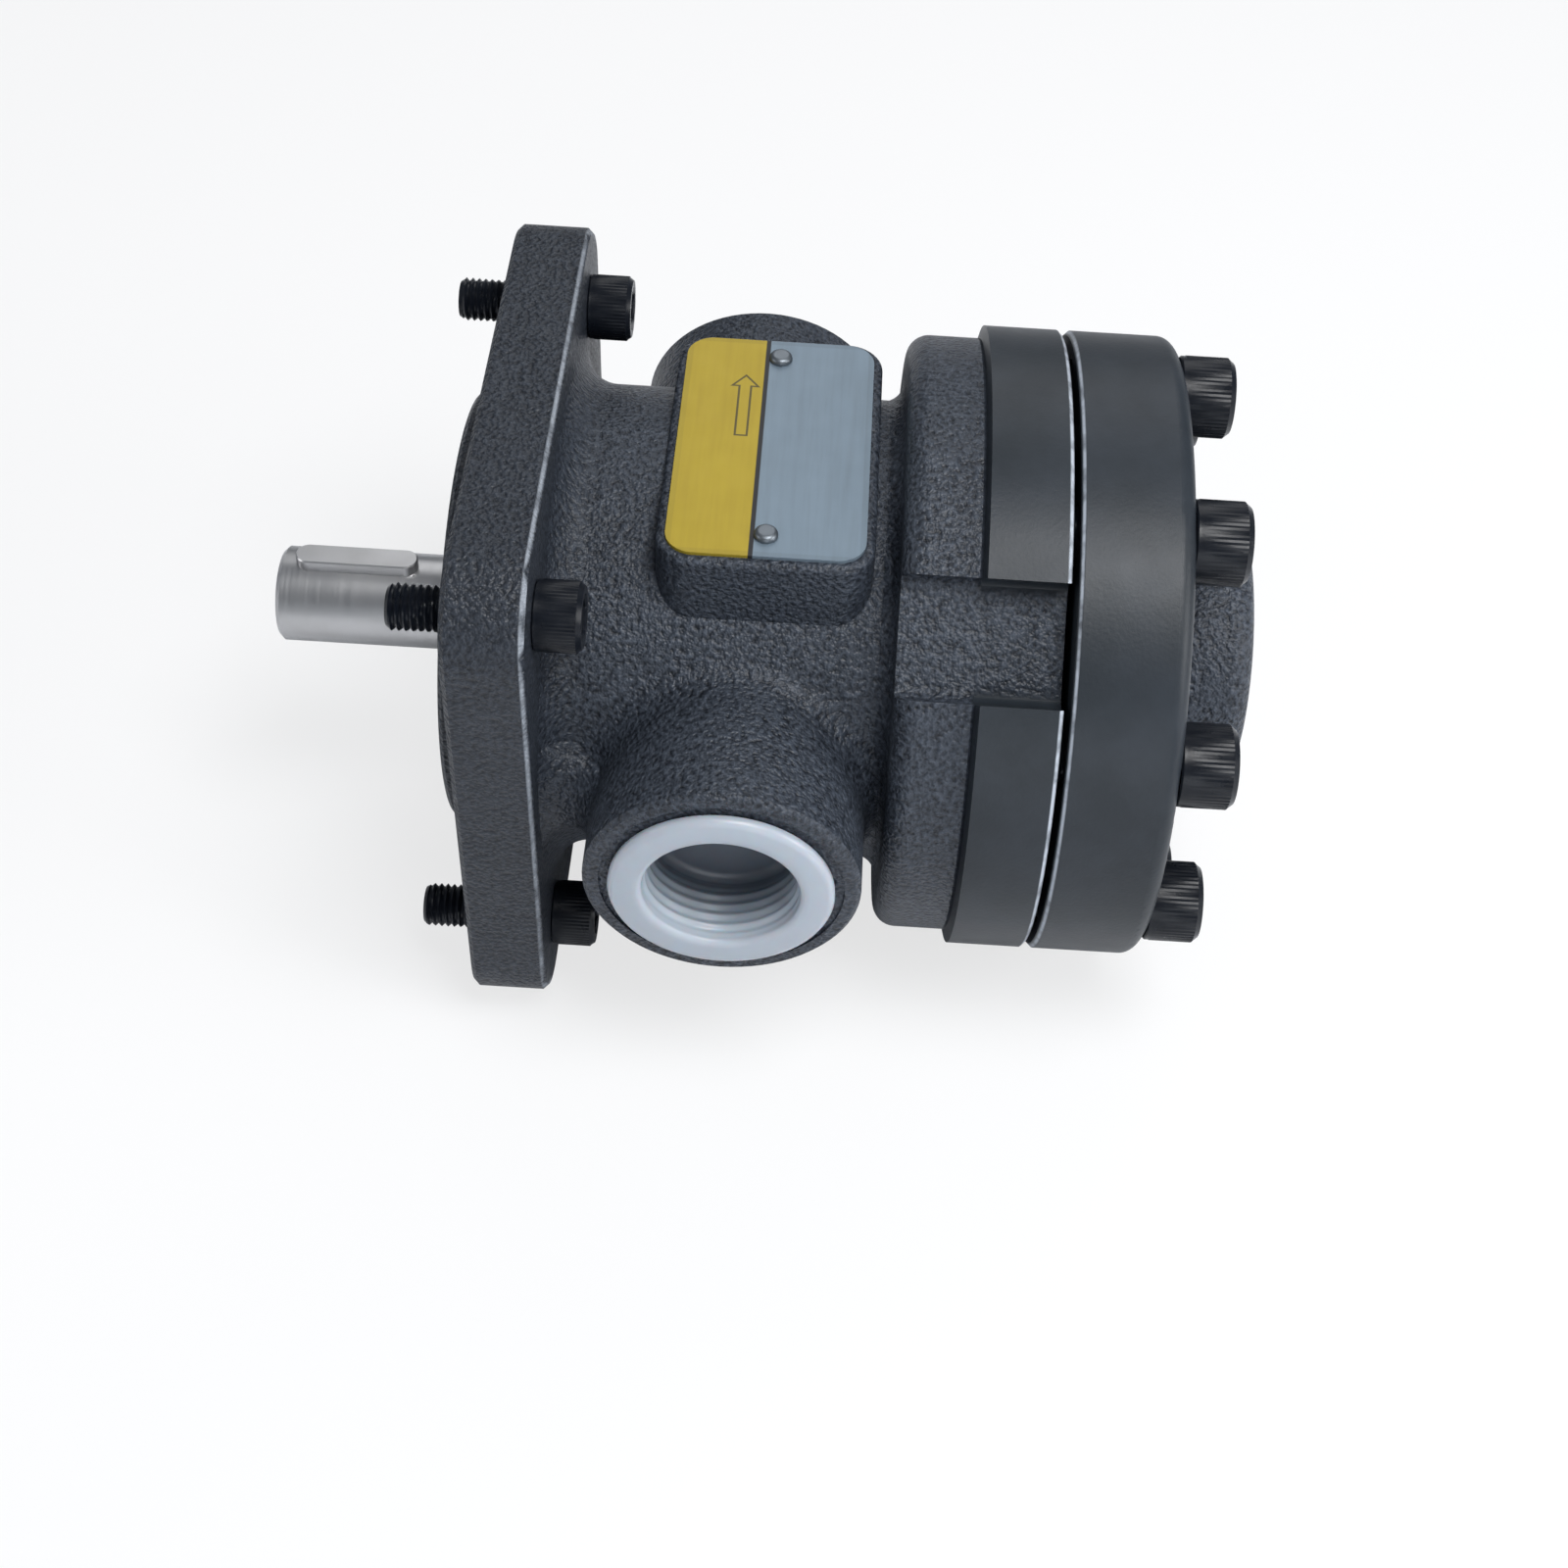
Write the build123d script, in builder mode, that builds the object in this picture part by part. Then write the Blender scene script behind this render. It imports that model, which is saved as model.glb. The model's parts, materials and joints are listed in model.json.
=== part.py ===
from build123d import *
from math import cos, hypot, radians, sin
import os

# Hydraulic vane pump with a square mounting flange, in millimetres.
# The shaft axis is X. X = 0 is the flange's mounting face, the shaft points to -X, the rear cover
# is at +X and the name plate faces +Z. The suction port faces -Y and the delivery port +Y.

# Square mounting flange and its screws (M10)
flange_side = 136.0
flange_thickness = 17.0
flange_corner_radius = 18.0
flange_edge_chamfer = 1.2
flange_hole_spacing = 100.0
flange_screw_diameter = 10.0
flange_screw_shank_diameter = 9.0
flange_screw_length = 30.0
flange_screw_play = 0.5
pilot_diameter = 100.0
pilot_height = 6.0
flange_fillet = 8.0

# Cast barrel, shoulder and machined rear ring
barrel_radius = 53.0
neck_end = 91.0
shoulder_step = 3.0
shoulder_round = 5.0
neck_fillet = 5.0
neck_dip = 0.3
ring_start = 107.5
ring_radius = 71.5
body_length = 125.5
ring_chamfer = 0.8
notch_width = 26.0
notch_depth = 9.5
notch_corner_radius = 3.0

# Ports: G 1 1/4 suction, G 1 delivery, tapping sizes
port_position = 57.5
port_boss_diameter = 59.0
port_face_distance = 78.0
port_boss_fillet = 7.0
port_edge_chamfer = 1.0
port_spot_depth = 0.6
suction_port_diameter = 38.95
suction_port_depth = 22.0
delivery_port_diameter = 30.3
delivery_port_depth = 21.0
suction_passage_diameter = 24.0
suction_passage_position = 65.0
delivery_passage_diameter = 15.0
delivery_passage_position = 49.5

# Pad and name plate
pad_position = 62.5
pad_length = 46.0
pad_width = 73.5
pad_height = 54.7
pad_corner_radius = 8.0
pad_edge_fillet = 1.5
plate_margin = 2.0
plate_thickness = 0.8
plate_corner_radius = 6.0
plate_screw_spacing = 57.0
plate_screw_diameter = 2.6
plate_screw_head = 5.2
plate_screw_depth = 6.0

# Cartridge: side plates, cam ring, rotor and vanes
cavity_diameter = 88.0
cartridge_play = 0.05
front_plate_thickness = 14.0
cam_ring_width = 22.0
rear_plate_thickness = 14.0
cam_major_radius = 33.3
cam_minor_radius = 30.3
rotor_radius = 29.9
rotor_end_play = 0.02
vane_count = 12
vane_thickness = 1.8
vane_height = 8.6
vane_side_play = 0.02
slot_root_radius = 19.0
slot_root_diameter = 3.2
pin_diameter = 6.0
pin_pitch_radius = 38.5
pin_engagement = 9.0
kidney_pitch_radius = 31.2
kidney_width = 5.4
kidney_arc = 46.0
notch_feed_depth = 6.0
under_vane_groove_depth = 1.6
gallery_radius = 48.0
gallery_length = 36.0
chamber_radius = 34.0
chamber_depth = 18.0
plate_bore_diameter = 29.0

# Drive shaft
shaft_end = -50.0
shaft_diameter = 22.0
shaft_step = -7.0
bearing_seat_diameter = 25.0
collar_diameter = 30.0
collar_width = 5.0
spline_minor_diameter = 21.0
spline_teeth = 6
spline_tooth_width = 5.0
spline_play = 0.06
spline_overhang = 1.5
journal_diameter = 20.0
shaft_chamfer = 1.0
key_width = 6.0
key_height = 6.0
key_length = 28.0
key_depth = 3.5
key_end_distance = 4.0
shaft_passage_diameter = 32.0

# Front ball bearing (25 x 52 x 15)
bearing_front = 4.6
bearing_width = 15.0
bearing_outer_diameter = 52.0
bearing_pitch_radius = 19.25
ball_diameter = 7.94
ball_count = 9
ball_play = 0.01
groove_ratio = 1.04
race_land = 2.6
race_chamfer = 0.8
cage_width = 9.6
cage_thickness = 2.0
cage_pocket_play = 0.08

# Circlips and shaft seal (25 x 52 x 7)
housing_circlip_thickness = 2.0
housing_circlip_depth = 1.5
housing_circlip_width = 3.4
shaft_circlip_thickness = 1.2
shaft_circlip_depth = 0.65
shaft_circlip_width = 2.6
circlip_gap_angle = 40.0
groove_side_play = 0.1
seal_front = -5.5
seal_width = 7.0
seal_wall = 1.6
seal_lip_play = 0.03
seal_lip_width = 1.8
garter_wire = 1.4

# Rear cover and its bolts (M12)
cover_gap = 1.5
cover_thickness = 24.0
cover_edge_radius = 3.5
cover_front_chamfer = 1.0
spigot_play = 0.05
spigot_length = 19.0
cover_boss_radius = 32.0
cover_boss_height = 20.0
cover_boss_fillet = 5.0
bolt_count = 8
bolt_edge_distance = 10.5
bolt_diameter = 12.0
bolt_length = 45.0
bolt_play = 0.75
tapped_hole_depth = 26.0
o_ring_wire = 3.5
o_ring_groove_width = 4.6
o_ring_squeeze = 0.7

# Rear needle bearing (20 x 26 x 16)
needle_shell_diameter = 26.0
needle_shell_length = 16.0
needle_shell_wall = 0.95
needle_diameter = 2.0
needle_length = 12.0
needle_count = 16
needle_play = 0.015
needle_pocket_play = 0.04
needle_cage_wall = 0.9
shaft_rear_gap = 3.0
journal_length_past_bearing = 3.0

# Suction port plug (a cup-shaped cover that pushes in)
plug_flange_diameter = 48.0
plug_flange_thickness = 3.0
plug_play = 0.2
plug_wall = 2.4
plug_depth = 17.0

# Details of single features
head_ratio = 1.5
head_chamfer = 0.8
socket_ratio = 0.82
socket_depth_ratio = 0.5
pilot_chamfer = 1.0
notch_angles = (135.0, 315.0)
port_spot_diameter = 52.0
gallery_margin = 6.0
cam_angle = 45.0
suction_angles = (90.0, 270.0)
delivery_angles = (0.0, 180.0)
pin_places_angle = 135.0
feed_width = 34.0
feed_inner_radius = 28.0
vane_first_angle = 15.0
vane_rim_depth = 0.1
vane_tip_radius = 0.6
spigot_chamfer = 1.0
cover_boss_round = 5.0
pocket_radius = 10.6
plate_screw_head_height = 1.5
plug_rim_fillet = 1.0
plug_taper = 1.0
plate_groove_inset = 2.5
plate_groove_width = 3.2
plate_groove_depth = 2.2

# Places that follow from the sizes above
half_pitch = 180.0 / bolt_count
cavity_radius = cavity_diameter / 2
insert_radius = cavity_radius - cartridge_play
cover_front = body_length + cover_gap
spigot_front = cover_front - spigot_length
rear_plate_rear = spigot_front
ring_rear = rear_plate_rear - rear_plate_thickness
front_plate_rear = ring_rear - cam_ring_width
cavity_floor = front_plate_rear - front_plate_thickness
gallery_start = cavity_floor + gallery_margin
chamber_start = cavity_floor - chamber_depth
cover_rear = cover_front + cover_thickness
boss_rear = cover_rear + cover_boss_height
bearing_rear = bearing_front + bearing_width
bearing_bore_radius = bearing_outer_diameter / 2
seat_radius = bearing_seat_diameter / 2
shell_rear = cover_rear - shaft_rear_gap
shell_front = shell_rear - needle_shell_length
shaft_rear = shell_rear + journal_length_past_bearing
journal_front = ring_rear + spline_overhang
spline_front = front_plate_rear - spline_overhang
pilot_face = -pilot_height


def along_x(position):
    """The sketch plane across the shaft axis at an X position: sketch x is Y, sketch y is Z."""
    return Plane.YZ.offset(position)


def save(part, label):
    part.label = label
    export_step(part, f"parts/{label}.step")


def ring_section(start, end, inner, outer, corner=0.0):
    """Half section of a ring about X, in the XY plane, with its outer corners chamfered."""
    with BuildSketch(Plane.XY) as section:
        with Locations(((start + end) / 2, (inner + outer) / 2)):
            Rectangle(end - start, outer - inner)
        if corner > 0:
            chamfer(section.vertices().group_by(Axis.Y)[-1], corner)
    return section.sketch


def turned_ring(start, end, inner, outer):
    """A plain ring about X."""
    with BuildPart() as ring:
        with BuildSketch(along_x(start)):
            Circle(outer)
            if inner > 0:
                Circle(inner, mode=Mode.SUBTRACT)
        extrude(amount=end - start)
    return ring.part


def circlip(start, thickness, inner, outer, gap_angle):
    """An open ring about X with its gap at the top."""
    with BuildPart() as clip:
        with BuildSketch(along_x(start)):
            Circle(outer)
            Circle(inner, mode=Mode.SUBTRACT)
            half_gap = outer * sin(radians(gap_angle / 2))
            with Locations((0, outer)):
                Rectangle(2 * half_gap, 2 * (outer - inner * cos(radians(gap_angle / 2))), mode=Mode.SUBTRACT)
        extrude(amount=thickness)
    return clip.part


def socket_screws(places, seat, length, diameter, shank_length, shank_diameter):
    """Socket head cap screws along X, with their heads on the plane X = seat and rising along +X."""
    with BuildPart() as screws:
        with BuildSketch(along_x(seat)):
            with Locations(places):
                Circle(diameter * head_ratio / 2)
        extrude(amount=diameter)
        chamfer(screws.edges().filter_by(GeomType.CIRCLE).group_by(Axis.X)[-1], head_chamfer)
        with BuildSketch(along_x(seat - shank_length)):
            with Locations(places):
                Circle(shank_diameter / 2)
        extrude(amount=shank_length)
        with BuildSketch(along_x(seat - length)):
            with Locations(places):
                Circle(diameter / 2)
        extrude(amount=length - shank_length)
        with BuildSketch(along_x(seat + diameter)):
            with Locations(places):
                RegularPolygon(diameter * socket_ratio / 2, 6, major_radius=False)
        extrude(amount=-diameter * socket_depth_ratio, mode=Mode.SUBTRACT)
    return screws.part


def corner_places(spacing):
    """The four corners of a square, as (Y, Z) pairs."""
    return [(y * spacing / 2, z * spacing / 2) for y in (-1, 1) for z in (-1, 1)]


def circle_places(radius, count, first_angle=0.0):
    """Places evenly spaced on a circle, as (Y, Z) pairs."""
    angles = [radians(first_angle + 360.0 * step / count) for step in range(count)]
    return [(radius * cos(angle), radius * sin(angle)) for angle in angles]


# Places and sizes that follow from those above
shoulder_radius = ring_radius - shoulder_step
notch_floor_radius = ring_radius - notch_depth
bolt_circle_radius = ring_radius - bolt_edge_distance
neck_arc_centre = barrel_radius + neck_fillet - neck_dip
circlip_front = bearing_front - housing_circlip_thickness
shaft_clip_front = bearing_front - shaft_circlip_thickness
spigot_radius = cavity_radius - spigot_play
groove_radius = cavity_radius - o_ring_wire + o_ring_squeeze
groove_front = spigot_front + (spigot_length - o_ring_groove_width) / 2
groove_rear = groove_front + o_ring_groove_width
needle_shell_radius = needle_shell_diameter / 2
needle_pitch_radius = journal_diameter / 2 + needle_diameter / 2 + needle_play
raceway_radius = needle_pitch_radius + needle_diameter / 2 + needle_play
needle_lip_radius = journal_diameter / 2 + 0.6
needle_cage_length = needle_length + 1.6
pocket_rear = shaft_rear + shaft_rear_gap
pin_places = circle_places(pin_pitch_radius, 2, pin_places_angle)
plate_groove_front = cavity_floor + plate_groove_inset
plate_groove_radius = cavity_radius - plate_groove_depth
spline_minor_radius = spline_minor_diameter / 2
spline_major_radius = seat_radius
rotor_width = cam_ring_width - 2 * rotor_end_play
key_centre = shaft_end + key_end_distance + key_length / 2
plate_screw_places = (-plate_screw_spacing / 2, plate_screw_spacing / 2)
seal_rear = seal_front + seal_width
seal_lip_edge = seat_radius + seal_lip_play
seal_lip_root = seat_radius + 3.5
seal_lip_back = seal_lip_edge + 3.0
seal_lip_outer = seal_lip_root + 3.0

# ---------------------------------------------------------------- pump body

with BuildPart() as square_flange:
    with BuildSketch(along_x(0)):
        RectangleRounded(flange_side, flange_side, flange_corner_radius)
    extrude(amount=flange_thickness)
    flat_faces = square_flange.faces().filter_by(Axis.X)
    chamfer(flat_faces.edges(), flange_edge_chamfer)
    with BuildSketch(along_x(pilot_face)):
        Circle(pilot_diameter / 2)
    extrude(amount=pilot_height)
    pilot_rim = square_flange.edges().filter_by(GeomType.CIRCLE).group_by(Axis.X)[0]
    chamfer(pilot_rim, pilot_chamfer)

with BuildPart() as pump_body:
    # barrel that flares into the flange
    flare = barrel_radius + flange_fillet
    with BuildSketch(Plane.XY):
        with BuildLine():
            Polyline((flange_thickness, flare), (0, flare), (0, 0), (ring_start, 0), (ring_start, barrel_radius))
            Line((ring_start, barrel_radius), (flange_thickness + flange_fillet, barrel_radius))
            CenterArc((flange_thickness + flange_fillet, flare), flange_fillet, 180, 90)
        make_face()
    revolve(axis=Axis.X)

    # port bosses on both sides, blended into the barrel
    with BuildSketch(Plane.XZ):
        with Locations((port_position, 0)):
            Circle(port_boss_diameter / 2)
    extrude(amount=port_face_distance, both=True)
    curved = (GeomType.LINE, GeomType.CIRCLE)
    feet = [edge for edge in pump_body.edges() if edge.geom_type not in curved]
    fillet(feet, port_boss_fillet)
    port_rims = pump_body.edges().filter_by(GeomType.CIRCLE).group_by(Axis.Y)
    chamfer(port_rims[0] + port_rims[-1], port_edge_chamfer)

    # name plate pad on top of the barrel
    with BuildSketch(Plane.XY.offset(pad_height)):
        with Locations((pad_position, 0)):
            RectangleRounded(pad_length, pad_width, pad_corner_radius)
    extrude(amount=-pad_height)
    fillet(pump_body.faces().filter_by(Axis.Z).sort_by(Axis.Z)[-1].edges(), pad_edge_fillet)

    # cast shoulder and machined ring that carry the cover bolts; the neck's arc dips into the barrel
    with BuildSketch(Plane.XY):
        with BuildLine():
            CenterArc((neck_end - neck_fillet, neck_arc_centre), neck_fillet, 270, 90)
            Line((neck_end, neck_arc_centre), (neck_end, shoulder_radius - shoulder_round))
            CenterArc((neck_end + shoulder_round, shoulder_radius - shoulder_round), shoulder_round, 180, -90)
            Polyline(
                (neck_end + shoulder_round, shoulder_radius),
                (ring_start, shoulder_radius),
                (ring_start + ring_chamfer, ring_radius),
                (body_length - ring_chamfer, ring_radius),
                (body_length, ring_radius - ring_chamfer),
                (body_length, 0),
                (neck_end - neck_fillet, 0),
                (neck_end - neck_fillet, neck_arc_centre - neck_fillet),
            )
        make_face()
    revolve(axis=Axis.X)

    add(square_flange.part)

    # notches across the rear ring, on the diagonal between plate and port and opposite it
    for angle in notch_angles:
        with BuildSketch(along_x(neck_end - neck_fillet)):
            with Locations(Rotation(0, 0, angle)):
                with Locations((ring_radius, 0)):
                    RectangleRounded(
                        2 * (ring_radius - notch_floor_radius), notch_width, notch_corner_radius
                    )
            Circle(notch_floor_radius, mode=Mode.SUBTRACT)
        extrude(amount=body_length, mode=Mode.SUBTRACT)

    # cartridge cavity, suction gallery round it and delivery chamber in front of it
    with BuildSketch(along_x(cavity_floor)):
        Circle(cavity_radius)
    extrude(amount=body_length - cavity_floor, mode=Mode.SUBTRACT)
    with BuildSketch(along_x(gallery_start)):
        Circle(gallery_radius)
    extrude(amount=gallery_length, mode=Mode.SUBTRACT)
    with BuildSketch(along_x(chamber_start)):
        Circle(chamber_radius)
    extrude(amount=chamber_depth, mode=Mode.SUBTRACT)
    with BuildSketch(along_x(bearing_rear)):
        Circle(shaft_passage_diameter / 2)
    extrude(amount=chamber_start - bearing_rear, mode=Mode.SUBTRACT)

    # front bore for the bearing, its circlip and the shaft seal
    with BuildSketch(along_x(pilot_face)):
        Circle(bearing_bore_radius)
    extrude(amount=bearing_rear - pilot_face, mode=Mode.SUBTRACT)
    with BuildSketch(along_x(circlip_front - groove_side_play)):
        Circle(bearing_bore_radius + housing_circlip_depth)
    extrude(amount=housing_circlip_thickness + groove_side_play, mode=Mode.SUBTRACT)

    # ports and the passages from them
    for side, diameter, depth in (
        (-1, suction_port_diameter, suction_port_depth),
        (1, delivery_port_diameter, delivery_port_depth),
    ):
        mouth = Plane(origin=(port_position, side * port_face_distance, 0), x_dir=(1, 0, 0), z_dir=(0, side, 0))
        with BuildSketch(mouth):
            Circle(port_spot_diameter / 2)
        extrude(amount=-port_spot_depth, mode=Mode.SUBTRACT)
        with BuildSketch(mouth):
            Circle(diameter / 2)
        extrude(amount=-depth - port_spot_depth, mode=Mode.SUBTRACT)
    with BuildSketch(Plane.XZ.offset(port_face_distance - port_spot_depth - suction_port_depth)):
        with Locations((suction_passage_position, 0)):
            Circle(suction_passage_diameter / 2)
    extrude(
        amount=-(port_face_distance - port_spot_depth - suction_port_depth - gallery_radius + 2.0),
        mode=Mode.SUBTRACT,
    )
    with BuildSketch(Plane.XZ.offset(-(port_face_distance - port_spot_depth - delivery_port_depth))):
        with Locations((delivery_passage_position, 0)):
            Circle(delivery_passage_diameter / 2)
    extrude(
        amount=port_face_distance - port_spot_depth - delivery_port_depth - chamber_radius + 2.0,
        mode=Mode.SUBTRACT,
    )

    # screw holes: through the flange, and tapped from the rear face
    with BuildSketch(along_x(0)):
        with Locations(corner_places(flange_hole_spacing)):
            Circle(flange_screw_diameter / 2 + flange_screw_play)
    extrude(amount=flange_thickness, mode=Mode.SUBTRACT)
    with BuildSketch(along_x(body_length)):
        with Locations(circle_places(bolt_circle_radius, bolt_count, half_pitch)):
            Circle(bolt_diameter / 2)
    extrude(amount=-tapped_hole_depth, mode=Mode.SUBTRACT)

    # pilot holes for the name plate's drive screws
    with BuildSketch(Plane.XY.offset(pad_height)):
        with Locations([(pad_position, y) for y in plate_screw_places]):
            Circle(plate_screw_diameter / 2)
    extrude(amount=-plate_screw_depth, mode=Mode.SUBTRACT)

save(pump_body.part, "pump_body")

# ---------------------------------------------------------------- rear cover and bolts

with BuildPart() as rear_cover:
    with BuildSketch(Plane.XY):
        with BuildLine():
            foot = cover_boss_radius + cover_boss_fillet
            Polyline(
                (cover_rear, foot),
                (cover_rear, ring_radius - cover_edge_radius),
            )
            CenterArc(
                (cover_rear - cover_edge_radius, ring_radius - cover_edge_radius), cover_edge_radius, 0, 90
            )
            Polyline(
                (cover_rear - cover_edge_radius, ring_radius),
                (cover_front + cover_front_chamfer, ring_radius),
                (cover_front, ring_radius - cover_front_chamfer),
                (cover_front, spigot_radius),
                (groove_rear, spigot_radius),
                (groove_rear, groove_radius),
                (groove_front, groove_radius),
                (groove_front, spigot_radius),
                (spigot_front + spigot_chamfer, spigot_radius),
                (spigot_front, spigot_radius - spigot_chamfer),
                (spigot_front, needle_shell_radius),
                (shell_rear, needle_shell_radius),
                (shell_rear, pocket_radius),
                (pocket_rear, pocket_radius),
                (pocket_rear, 0),
                (boss_rear, 0),
                (boss_rear, cover_boss_radius - cover_boss_round),
            )
            CenterArc(
                (boss_rear - cover_boss_round, cover_boss_radius - cover_boss_round), cover_boss_round, 0, 90
            )
            Line((boss_rear - cover_boss_round, cover_boss_radius), (cover_rear + cover_boss_fillet, cover_boss_radius))
            CenterArc((cover_rear + cover_boss_fillet, foot), cover_boss_fillet, 180, 90)
        make_face()
    revolve(axis=Axis.X)
    with BuildSketch(along_x(cover_front)):
        with Locations(circle_places(bolt_circle_radius, bolt_count, half_pitch)):
            Circle(bolt_diameter / 2 + bolt_play)
    extrude(amount=cover_thickness, mode=Mode.SUBTRACT)
save(rear_cover.part, "rear_cover")

cover_bolt_places = circle_places(bolt_circle_radius, bolt_count, half_pitch)
cover_bolts = socket_screws(
    cover_bolt_places, cover_rear, bolt_length, bolt_diameter, cover_thickness, bolt_diameter
)
save(cover_bolts, "cover_bolts")
flange_screws = socket_screws(
    corner_places(flange_hole_spacing),
    flange_thickness,
    flange_screw_length,
    flange_screw_diameter,
    flange_thickness,
    flange_screw_shank_diameter,
)
save(flange_screws, "flange_screws")

with BuildPart() as cover_o_ring:
    with BuildSketch(Plane.XY):
        with Locations(((groove_front + groove_rear) / 2, (groove_radius + cavity_radius) / 2)):
            Ellipse(o_ring_groove_width / 2 - groove_side_play, (cavity_radius - groove_radius) / 2)
    revolve(axis=Axis.X)
save(cover_o_ring.part, "cover_o_ring")

# ---------------------------------------------------------------- cartridge


def kidneys(face):
    """Curved slots at the rotor's rim, where oil is pressed out."""
    with BuildSketch(face) as slots:
        for angle in delivery_angles:
            arc = CenterArc((0, 0), kidney_pitch_radius, angle - kidney_arc / 2, kidney_arc)
            SlotArc(arc, kidney_width)
    return slots.sketch


def feeds(face):
    """Open notches from a side plate's rim to the rotor's rim, where oil is drawn in."""
    with BuildSketch(face) as notches:
        for angle in suction_angles:
            with Locations(Rotation(0, 0, angle)):
                with Locations((insert_radius, 0)):
                    Rectangle(2 * (insert_radius - kidney_pitch_radius), feed_width)
        Circle(feed_inner_radius, mode=Mode.SUBTRACT)
    return notches.sketch


def under_vane_groove(face):
    """The ring groove that feeds oil under the vanes."""
    with BuildSketch(face) as groove:
        Circle(slot_root_radius + slot_root_diameter / 2)
        Circle(slot_root_radius - slot_root_diameter / 2, mode=Mode.SUBTRACT)
    return groove.sketch


def pin_holes(face):
    with BuildSketch(face) as holes:
        with Locations(pin_places):
            Circle(pin_diameter / 2)
    return holes.sketch


with BuildPart() as front_side_plate:
    with BuildSketch(along_x(cavity_floor)):
        Circle(insert_radius)
        Circle(plate_bore_diameter / 2, mode=Mode.SUBTRACT)
    extrude(amount=front_plate_thickness)
    with BuildSketch(along_x(plate_groove_front)):
        Circle(insert_radius)
        Circle(plate_groove_radius, mode=Mode.SUBTRACT)
    extrude(amount=plate_groove_width, mode=Mode.SUBTRACT)
    running_face = along_x(front_plate_rear)
    extrude(kidneys(running_face), amount=-front_plate_thickness, mode=Mode.SUBTRACT)
    extrude(feeds(running_face), amount=-notch_feed_depth, mode=Mode.SUBTRACT)
    extrude(under_vane_groove(running_face), amount=-under_vane_groove_depth, mode=Mode.SUBTRACT)
    extrude(pin_holes(running_face), amount=-pin_engagement, mode=Mode.SUBTRACT)
save(front_side_plate.part, "front_side_plate")

with BuildPart() as rear_side_plate:
    with BuildSketch(along_x(ring_rear)):
        Circle(insert_radius)
        Circle(plate_bore_diameter / 2, mode=Mode.SUBTRACT)
    extrude(amount=rear_plate_thickness)
    running_face = along_x(ring_rear)
    extrude(kidneys(running_face), amount=notch_feed_depth, mode=Mode.SUBTRACT)
    extrude(feeds(running_face), amount=notch_feed_depth, mode=Mode.SUBTRACT)
    extrude(under_vane_groove(running_face), amount=under_vane_groove_depth, mode=Mode.SUBTRACT)
    extrude(pin_holes(running_face), amount=pin_engagement, mode=Mode.SUBTRACT)
save(rear_side_plate.part, "rear_side_plate")

with BuildPart() as cam_ring:
    with BuildSketch(along_x(front_plate_rear)):
        Circle(insert_radius)
        Ellipse(cam_major_radius, cam_minor_radius, rotation=cam_angle, mode=Mode.SUBTRACT)
        with Locations(pin_places):
            Circle(pin_diameter / 2, mode=Mode.SUBTRACT)
    extrude(amount=cam_ring_width)
save(cam_ring.part, "cam_ring")

with BuildPart() as locating_pins:
    with BuildSketch(along_x(front_plate_rear - pin_engagement)):
        with Locations(pin_places):
            Circle(pin_diameter / 2)
    extrude(amount=cam_ring_width + 2 * pin_engagement)
    chamfer(locating_pins.edges().filter_by(GeomType.CIRCLE), 0.5)
save(locating_pins.part, "locating_pins")

with BuildPart() as side_plate_o_ring:
    with BuildSketch(Plane.XY):
        with Locations(
            (plate_groove_front + plate_groove_width / 2, (plate_groove_radius + cavity_radius) / 2)
        ):
            Ellipse(plate_groove_width / 2 - groove_side_play, (cavity_radius - plate_groove_radius) / 2)
    revolve(axis=Axis.X)
save(side_plate_o_ring.part, "side_plate_o_ring")

with BuildPart() as rotor:
    with BuildSketch(along_x(front_plate_rear + rotor_end_play)):
        Circle(rotor_radius)
        Circle(spline_minor_radius + spline_play, mode=Mode.SUBTRACT)
        with PolarLocations(0, spline_teeth):
            with Locations((spline_major_radius / 2 + spline_play, 0)):
                Rectangle(spline_major_radius, spline_tooth_width + 2 * spline_play, mode=Mode.SUBTRACT)
        with PolarLocations(0, vane_count, vane_first_angle):
            with Locations((slot_root_radius, 0)):
                Circle(slot_root_diameter / 2, mode=Mode.SUBTRACT)
            with Locations(((slot_root_radius + rotor_radius + 1) / 2, 0)):
                Rectangle(
                    rotor_radius + 1 - slot_root_radius, vane_thickness + 2 * vane_side_play, mode=Mode.SUBTRACT
                )
    extrude(amount=rotor_width)
save(rotor.part, "rotor")


def vane(angle):
    """A flat vane with a round tip, flush with the rotor's rim, its slot at an angle from +Y."""
    with BuildPart() as blade:
        with BuildSketch(along_x(front_plate_rear + rotor_end_play)):
            with Locations(Rotation(0, 0, angle)):
                with Locations((rotor_radius - vane_height / 2 - vane_rim_depth, 0)):
                    Rectangle(vane_height, vane_thickness)
        extrude(amount=rotor_width)
        tip = blade.faces().sort_by(lambda face: hypot(face.center().Y, face.center().Z))[-1]
        fillet(tip.edges().filter_by(Axis.X), vane_tip_radius)
    return blade.part


for number in range(vane_count):
    save(vane(vane_first_angle + 360.0 * number / vane_count), f"vane_{number + 1:02d}")

# ---------------------------------------------------------------- drive shaft and key

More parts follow.
